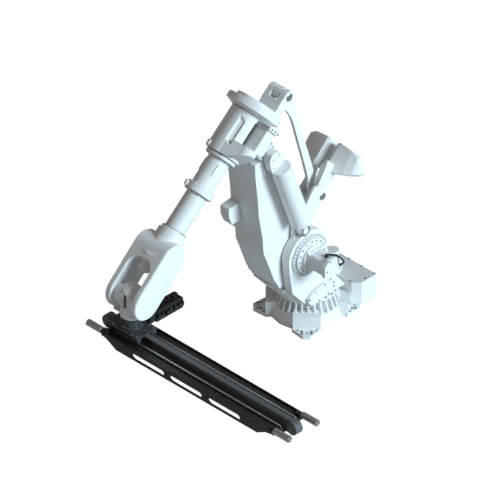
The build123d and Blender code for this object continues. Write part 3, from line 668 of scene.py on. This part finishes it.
class ROBOT_OT_turntable(bpy.types.Operator):
    """Turntable cheeks, reducers, drives and their screws"""
    bl_idname = "robot.turntable"
    bl_label = "Turntable and drives"

    def execute(self, context):
        soften_group("turntable")
        points = []
        for side in (1, -1):
            points += circle_points(along_x(CHEEK_FACE + 5, SHOULDER, 0, side), 184, 36, 4, 0.7)
            points += circle_points(along_x(GEARBOX_FACE, SHOULDER, 0, side), 143, 16, 0, 0.8)
            points += list_points(along_x(MOTOR_FACE, SHOULDER, 0, side),
                                  [(-78, 0), (78, -30), (-40, -86), (40, -86),
                                                                    (-40, 86)], 0.75)
        cover = [(-262, 318), (-262, 366), (-196, 416), (-84, 436), (18, 414), (20, 376), (-46, 332),
                 (-150, 308)]
        points += list_points(axes_matrix((0, 1, 0), (0, 0, 1), (1, 0, 0), (300, 0, 0)), cover, 0.8)
        points += circle_points(upright(36, 270, 346), 61, 8, 22.5, 0.7)
        screws("turntable_screws", "turntable", points)

        def glands(bm):
            for side in (1, -1):
                top = Matrix.Translation(Vector((side * 470, SHOULDER[0], SHOULDER[1] + 75)) * MM)
                lathe(bm, [(0, 0), (15, 0), (15, 9), (12, 12), (10, 22), (8.6, 24), (0, 24)], top, 20)
                face = along_x(574, (-177, 828), 0, side)
                lathe(bm, [(0, 0), (13, 0), (13, 4), (10, 8), (0, 9)], face, 20)
        built("conduit_glands", "turntable", "rubber", glands)

        def fins(bm):
            for side in (1, -1):
                for k in range(7):
                    x = side * (372 + 21 * k)
                    base = axes_matrix((0, 1, 0), (0, 0, 1), (1, 0, 0), (x, *SHOULDER))
                    frame_outline(bm, rounded(153, 153, 19), rounded(148, 148, 17), base, -3, 3)
        built("drive_ribs", "turntable", "white_paint", fins)

        def lip(bm):
            for side in (1, -1):
                ring(bm, along_x(CHEEK_FACE, SHOULDER, 0, side), 196, 172, 5, 64)
                ring(bm, along_x(326, SHOULDER, 0, side), 117, 100, 3, 48)
        built("reducer_lips", "turntable", "white_paint", lip)
        return {"FINISHED"}


class ROBOT_OT_lower_arm(bpy.types.Operator):
    """Lower arm casting with its bosses, stop and hub screws"""
    bl_idname = "robot.lower_arm"
    bl_label = "Lower arm"

    def execute(self, context):
        soften_group("lower_arm")
        points = []
        for side in (1, -1):
            points += circle_points(along_x(175, ELBOW, 0, side), 70, 10, 0, 0.85)
            points += circle_points(along_x(183, ELBOW, 0, side), 40, 6, 0, 0.7)
        for a in (1066, 1112, 1158):
            at = add(add(SHOULDER, ARM_DIR, a), ARM_FRONT, 62)
            points += list_points(along_x(176, at, 0, 1), [(0, 0)], 0.9)
        screws("arm_screws", "lower_arm", points)

        def bosses(bm):
            for side in (1, -1):
                for a, f in ((250, 230), (820, 150)):
                    at = add(add(SHOULDER, ARM_DIR, a), ARM_FRONT, f)
                    lathe(bm, [(0, -1), (17, -1), (17, 3), (15, 4.5), (7, 4.5), (6, 1), (0, 1)],
                          along_x(165, at, 0, side), 24)
        built("lifting_bosses", "lower_arm", "cast_white", bosses)
        return {"FINISHED"}


class ROBOT_OT_balance(bpy.types.Operator):
    """Balance cylinder with its head's screws and scraper ring"""
    bl_idname = "robot.balance_cylinder"
    bl_label = "Balance cylinder"

    def execute(self, context):
        soften_group("balance")
        top = add(add(SHOULDER, ARM_DIR, 1190), ARM_FRONT, -15)
        low = add(SHOULDER, (-64, 283))
        length = math.hypot(top[0] - low[0], top[1] - low[1])
        axis = ((top[0] - low[0]) / length, (top[1] - low[1]) / length)
        angle = math.degrees(math.atan2(axis[1], axis[0]))
        head = along_x(HEAD_FACE, top, angle)
        screws("head_screws", "balance_cylinder",
               list_points(head, [(-56, -58), (-50, 56), (40, 34), (34, -38)], 0.6))

        def scraper(bm):
            at = add(low, axis, 112)
            ring(bm, axes_matrix((1, 0, 0), (0, -axis[1], axis[0]), (0, *axis), (272, *at)), 91.5, 76, 16,
                 56, 3)
        built("cylinder_scraper", "balance_cylinder", "white_paint", scraper)
        return {"FINISHED"}


class ROBOT_OT_parallel(bpy.types.Operator):
    """Parallel arm, rod and counterweight with their pins' caps and screws"""
    bl_idname = "robot.parallel"
    bl_label = "Parallel arm and rod"

    def execute(self, context):
        soften_group("parallel")
        points = []
        for side in (1, -1):
            points += circle_points(along_x(92, SHOULDER, 0, side), 84, 10, 0, 0.9)
        screws("parallel_arm_screws", "parallel_arm", points)

        def caps(bm):
            at = add(SHOULDER, turned((1, 0), UPPER_ARM_PITCH + LEVER_TILT), LEVER)
            for side in (1, -1):
                lathe(bm, [(0, -1), (34, -1), (34, 5), (31, 7), (12, 7), (10, 4), (0, 4)],
                      along_x(92, at, 0, side), 32)
        built("rod_pin_caps", "parallel_arm", "steel", caps)
        return {"FINISHED"}


class ROBOT_OT_upper_arm(bpy.types.Operator):
    """Arm house, disc, clevis and fourth axis drive with their fittings"""
    bl_idname = "robot.upper_arm"
    bl_label = "Upper arm"

    def execute(self, context):
        soften_group("upper_arm")
        def pocket(bm):
            low = [(1548, -30), (1562, 12), (1776, 12), (1748, -30)]
            high = [(1518, -50), (1540, 48), (1812, 48), (1776, -50)]
            tapered(bm, low, high, round_arm(0, 63), 138, 176)
        for node in ("arm_house", "axis4_lobe"):
            cut(bpy.data.objects[node + "_casting"], pocket, 7)
        points = circle_points(along_arm(DISC_BACK, DISC_RISE), 222, 16, 11, 0.7)
        flange = [(70, 40), (70, -40), (0, -70), (0, 70), (70, 0)]
        points += list_points(along_arm(1836, -35, 228), flange, 0.8)
        points += list_points(on_arm_top(0, 1819, 43), [(x, 0) for x in (172, 200, 228, 256, 284)], 0.8)
        points += list_points(on_arm_side(306, 1819, -35), [(0, -50), (0, 0), (0, 50)], 0.8)
        slant = (0.44, -0.898 * BACK_DIR[0], -0.898 * BACK_DIR[1])
        lug = Vector((150, *add(add(AXIS4_ORIGIN, BACK_DIR, 1451), UP_DIR, 84))) * MM
        points.append((lug, Vector(slant), 0.9))
        screws("house_screws", "upper_arm", points)

        def lugs(bm):
            prism(bm, rounded(52, 44, 10, 3), round_arm(1462, 122), 150, 176)
        built("house_lugs", "upper_arm", "cast_white", lugs, 4)

        # A dark ring on the disc's seam and a dark bar at the gap before the fourth axis drive: painted
        # shade of the groove and the gap.
        def gap_shade(bm):
            ring(bm, along_arm(DISC_BACK - 1, DISC_RISE), 199, 189, 2.4, 72, 1)
            bar = rounded(206, 34, 8, 3, centre=(1693, 0))
            prism(bm, bar, on_arm_side(0, 0, 0) @ Matrix.Translation((0, 0.036, 0)), 148, 166)
        built("house_gap_shade", "upper_arm", "painted_shade", gap_shade)

        def rings(bm):
            for outer, inner, height in ((186, 176, 3), (164, 150, 5), (132, 118, 7), (98, 84, 9)):
                ring(bm, along_arm(REAR_RING_BACK, DISC_RISE), outer, inner, height, 56)
            lathe(bm, [(0, -1), (44, -1), (44, 9), (40, 12), (0, 12)], along_arm(REAR_RING_BACK, DISC_RISE),
                  36)
        built("disc_rings", "upper_arm", "grey_paint", rings)

        def clevis_caps(bm):
            lever = turned((1, 0), UPPER_ARM_PITCH + LEVER_TILT)
            at = add(ELBOW, lever, LEVER)
            for side in (1, -1):
                lathe(bm, [(0, -1), (36, -1), (36, 4), (33, 6), (14, 6), (12, 3), (0, 3)],
                      along_x(104, at, 0, side), 32)
        built("clevis_caps", "upper_arm", "steel", clevis_caps)
        return {"FINISHED"}


class ROBOT_OT_forearm(bpy.types.Operator):
    """Forearm tubes, wrist fork and housing with their screws, ribs and plates, and painted shade on the
    collar's studs and the housing's slots
    """
    bl_idname = "robot.forearm"
    bl_label = "Forearm and wrist"

    def execute(self, context):
        soften_group("forearm")
        points = circle_points(along_arm(1118), 116, 16, 0, 0.9)
        points += circle_points(arm_front(1050), 116, 16, 0, 0.9)
        points += circle_points(arm_front(1396), 124, 16, 0, 0.9)
        screws("forearm_screws", "forearm", points)
        # The collar's studs are drawn as dark heads in the painted-shade finish, not in the steel of the
        # other screws.
        screws("collar_stud_shade", "forearm", circle_points(along_arm(COLLAR_BACK), 104, 26, 6,
                                                                     0.85), "painted_shade", 8)
        points = circle_points(upright(0, WRIST[0], 1265), 40, 8, 22.5, 0.8)
        screws("housing_screws", "wrist", points)

        def plate(bm):
            for angle in (30, 150):
                prism(bm, rounded(112, 58, 12, centre=(1290, 0)), round_arm(0, angle), 88, 105)
        built("forearm_plates", "forearm", "white_paint", plate, 1.5)

        def housing(bm):
            ring(bm, upright(0, WRIST[0], 1010), 96.5, 90, 8, 64, 1.5)
            for angle in (-104, -92, -64, -50, -22):
                prism(bm, rounded(9, 150, 4, 3, centre=(0, 1150)), round_housing(angle), 90, 104)
            lathe(bm, [(0, -2), (52, -2), (52, 3), (48, 6), (0, 6)], upright(0, WRIST[0], 1265), 40)
        built("housing_rings", "wrist", "white_paint", housing, 1)

        # Dark strips laid on the housing barrel: painted shade of its slots, not cut openings.
        def slot_shade(bm):
            for angle, wide, tall, middle in ((-78, 24, 132, 1165), (-36, 15, 104, 1172)):
                prism(bm, rounded(wide, tall, 7, 4, centre=(0, middle)), round_housing(angle), 88, 96.5)
        built("housing_slot_shade", "wrist", "painted_shade", slot_shade)

        def lugs(bm):
            prism(bm, rounded(46, 40, 10, 3), round_arm(1084, 122), 124, 150)
        built("flange_lugs", "forearm", "cast_white", lugs, 4)
        return {"FINISHED"}


class ROBOT_OT_beam(bpy.types.Operator):
    """Linear beam with its carriage, belt, drive connectors, bar ends and screws"""
    bl_idname = "robot.beam"
    bl_label = "Linear beam"

    def execute(self, context):
        soften_group("beam")
        y = WRIST[0]
        near = axes_matrix((1, 0, 0), (0, 0, 1), (0, -1, 0), (0, y - PANEL_FACE, 0))
        far = axes_matrix((-1, 0, 0), (0, 0, 1), (0, 1, 0), (0, y + PANEL_FACE, 0))
        points = []
        for k in range(14):
            x = -128 + 149 * k
            points += list_points(near, [(x, 797)], 0.8) + list_points(far, [(-x, 797)], 0.8)
        for x in (120, 604, 1050, 1540):
            points += list_points(near, [(x, 724), (x, 752)], 0.7) + list_points(far,
                                                                                 [(-x, 724), (-x, 752)],
                                                                                 0.7)
        for k in range(13):
            x = -80 + 150 * k
            points += list_points(upright(0, y, PLATE_TOP), [(x, -118), (x, 118)], 0.75)
        screws("rail_screws", "beam", points, "dark_grey")
        top = [(sx * 165, sy * 98) for sx in (-1, 1) for sy in (-1, 1)] + [(sx * 110,
                                                                            sy * 98) for sx in (-1, 1)
                                                                          for sy in (-1, 1)]
        points = list_points(upright(0, y, CARRIAGE_TOP), top,
                             0.9) + circle_points(upright(0, y, TOOL_FLANGE_TOP), 91, 10, 18, 0.85)
        screws("carriage_screws", "tool_carriage", points)

        def belt(bm):
            low, high = y - BELT_HALF_WIDTH, y + BELT_HALF_WIDTH
            start, end = PULLEY_AXES
            ends = [(start, low), (end, low), (end, high), (start, high)]
            for z0, z1 in ((863, 864.6), (737.4, 739)):
                prism(bm, ends, upright(0, 0, 0), z0, z1)
        built("drive_belt", "beam", "belt_grey", belt)

        def bar_ends(bm):
            for side in (-1, 1):
                for x, way in ((BAR_ENDS[1], -1), (BAR_ENDS[0], 1)):
                    at = axes_matrix((0, way, 0), (0, 0, 1), (way, 0, 0), (x, y + side * BAR_OFFSET, BAR_Z))
                    ring(bm, at, 30.6, 12, 12, 40, 1.5)
        built("bar_end_rings", "beam", "bar_aluminium", bar_ends)

        def connectors(bm):
            face = axes_matrix((0, 1, 0), (0, 0, 1), (1, 0, 0), (0, y, 0))
            for k, (dy, w, h) in enumerate(((212, 26, 34), (252, 30, 22), (298, 26, 40), (345, 34, 26),
                                            (396, 28, 36), (446, 34, 24), (484, 24, 44))):
                prism(bm, rounded(w, h, 4, 3, centre=(dy, 912 + 9 * (k % 2))), face, 106, 126 + 6 * (k % 3))
                prism(bm, rounded(w + 6, 38, 4, 3, centre=(dy, 941)), face, 20 + 8 * (k % 3),
                      84 - 7 * (k % 2))
                prism(bm, rounded(w, 34, 5, 3, centre=(dy, 961)), face, 14 + 11 * (k % 2), 52 + 9 * (k % 3))
        built("drive_connectors", "tool_carriage", "black_paint", connectors, 1.5)
        return {"FINISHED"}


class ROBOT_OT_stage(bpy.types.Operator):
    """Pale floor, soft studio light and the camera of the photograph"""
    bl_idname = "robot.stage"
    bl_label = "Stage"

    def execute(self, context):
        props = context.scene.robot_stage
        scene = context.scene
        half = props.floor_half
        mesh = bpy.data.meshes.new("studio_floor")
        mesh.from_pydata([(-half, -half, -0.0006), (half, -half, -0.0006), (half, half, -0.0006),
                          (-half, half, -0.0006)], [], [(0, 1, 2, 3)])
        floor = bpy.data.objects.new("studio_floor", mesh)
        scene.collection.objects.link(floor)
        paint = bpy.data.materials.new("studio_floor")
        paint.use_nodes = True
        tree = paint.node_tree
        shader = tree.nodes["Principled BSDF"]
        shader.inputs["Roughness"].default_value = 0.9
        coords = tree.nodes.new("ShaderNodeTexCoord").outputs["Object"]
        tree.links.new(ramp(tree, noise(tree, coords, 0.8, 3),
                            [(0.3, (0.60, 0.60, 0.60)), (0.7, (0.62, 0.62, 0.62))]),
                       shader.inputs["Base Color"])
        glow = tree.nodes.new("ShaderNodeEmission")
        glow.inputs["Color"].default_value = (1, 1, 1, 1)
        glow.inputs["Strength"].default_value = 1.1
        seen = tree.nodes.new("ShaderNodeLightPath")
        share = tree.nodes.new("ShaderNodeMath")
        share.operation = "MULTIPLY"
        share.inputs[1].default_value = 0.93
        tree.links.new(seen.outputs["Is Camera Ray"], share.inputs[0])
        mix = tree.nodes.new("ShaderNodeMixShader")
        tree.links.new(share.outputs[0], mix.inputs[0])
        tree.links.new(shader.outputs[0], mix.inputs[1])
        tree.links.new(glow.outputs[0], mix.inputs[2])
        tree.links.new(mix.outputs[0], tree.nodes["Material Output"].inputs["Surface"])
        mesh.materials.append(paint)

        world = bpy.data.worlds.new("studio")
        scene.world = world
        world.use_nodes = True
        tree = world.node_tree
        back = tree.nodes["Background"]
        back.inputs["Color"].default_value = (1.0, 0.88, 0.84, 1)
        back.inputs["Strength"].default_value = props.fill_strength
        white = tree.nodes.new("ShaderNodeBackground")
        white.inputs["Color"].default_value = (1, 1, 1, 1)
        white.inputs["Strength"].default_value = 1.0
        seen = tree.nodes.new("ShaderNodeLightPath")
        mix = tree.nodes.new("ShaderNodeMixShader")
        tree.links.new(seen.outputs["Is Camera Ray"], mix.inputs[0])
        tree.links.new(back.outputs[0], mix.inputs[1])
        tree.links.new(white.outputs[0], mix.inputs[2])
        tree.links.new(mix.outputs[0], tree.nodes["World Output"].inputs["Surface"])

        key = bpy.data.lights.new("key", "SUN")
        key.energy = props.key_strength
        key.angle = math.radians(24)
        key.color = (0.77, 1.0, 1.11)
        lamp = bpy.data.objects.new("key", key)
        scene.collection.objects.link(lamp)
        lamp.rotation_euler = Vector((0.90, 0.20, 0.39)).to_track_quat("Z", "Y").to_euler()

        lens = bpy.data.cameras.new("camera")
        lens.lens, lens.sensor_width = 1500, 36
        lens.clip_start, lens.clip_end = 1, 400
        camera = bpy.data.objects.new("camera", lens)
        scene.collection.objects.link(camera)
        back_way = Vector((1, -1, 1)).normalized()
        target = Vector((0.126, -0.798, 1.064))
        metres_wide = 500 / 120.0
        camera.location = target + back_way * (metres_wide * lens.lens / lens.sensor_width)
        camera.rotation_mode = "QUATERNION"
        camera.rotation_quaternion = back_way.to_track_quat("Z", "Y")
        scene.camera = camera
        scene.view_settings.view_transform = "Standard"
        scene.view_settings.look = "None"
        return {"FINISHED"}


OPERATORS = [ROBOT_OT_stage, ROBOT_OT_base, ROBOT_OT_turntable, ROBOT_OT_lower_arm, ROBOT_OT_balance,
             ROBOT_OT_parallel, ROBOT_OT_upper_arm, ROBOT_OT_forearm, ROBOT_OT_beam]


class ROBOT_PT_panel(bpy.types.Panel):
    """Lists the steps and sizes of the robot arm"""
    bl_label = "Robot arm"
    bl_idname = "ROBOT_PT_panel"
    bl_space_type = "VIEW_3D"
    bl_region_type = "UI"
    bl_category = "Robot arm"

    def draw(self, context):
        layout = self.layout
        for group, fields in (("robot_finish", ("white", "grey", "dark", "black")),
                              ("robot_screws", ("head_radius", "head_height", "washer_radius")),
                              ("robot_stage", ("key_strength", "fill_strength", "floor_half"))):
            for field in fields:
                layout.prop(getattr(context.scene, group), field)
        for operator in OPERATORS:
            layout.operator(operator.bl_idname)


CLASSES = [RobotFinishSettings, RobotScrewSettings, RobotStageSettings, *OPERATORS, ROBOT_PT_panel]


def register():
    for item in CLASSES:
        bpy.utils.register_class(item)
    bpy.types.Scene.robot_finish = bpy.props.PointerProperty(type=RobotFinishSettings)
    bpy.types.Scene.robot_screws = bpy.props.PointerProperty(type=RobotScrewSettings)
    bpy.types.Scene.robot_stage = bpy.props.PointerProperty(type=RobotStageSettings)


def unregister():
    del bpy.types.Scene.robot_finish, bpy.types.Scene.robot_screws, bpy.types.Scene.robot_stage
    for item in reversed(CLASSES):
        bpy.utils.unregister_class(item)


def main():
    register()
    make_finishes()
    bpy.ops.robot.stage()
    bpy.ops.robot.base()
    bpy.ops.robot.turntable()
    bpy.ops.robot.lower_arm()
    bpy.ops.robot.balance_cylinder()
    bpy.ops.robot.parallel()
    bpy.ops.robot.upper_arm()
    bpy.ops.robot.forearm()
    bpy.ops.robot.beam()


if __name__ == "__main__":
    main()
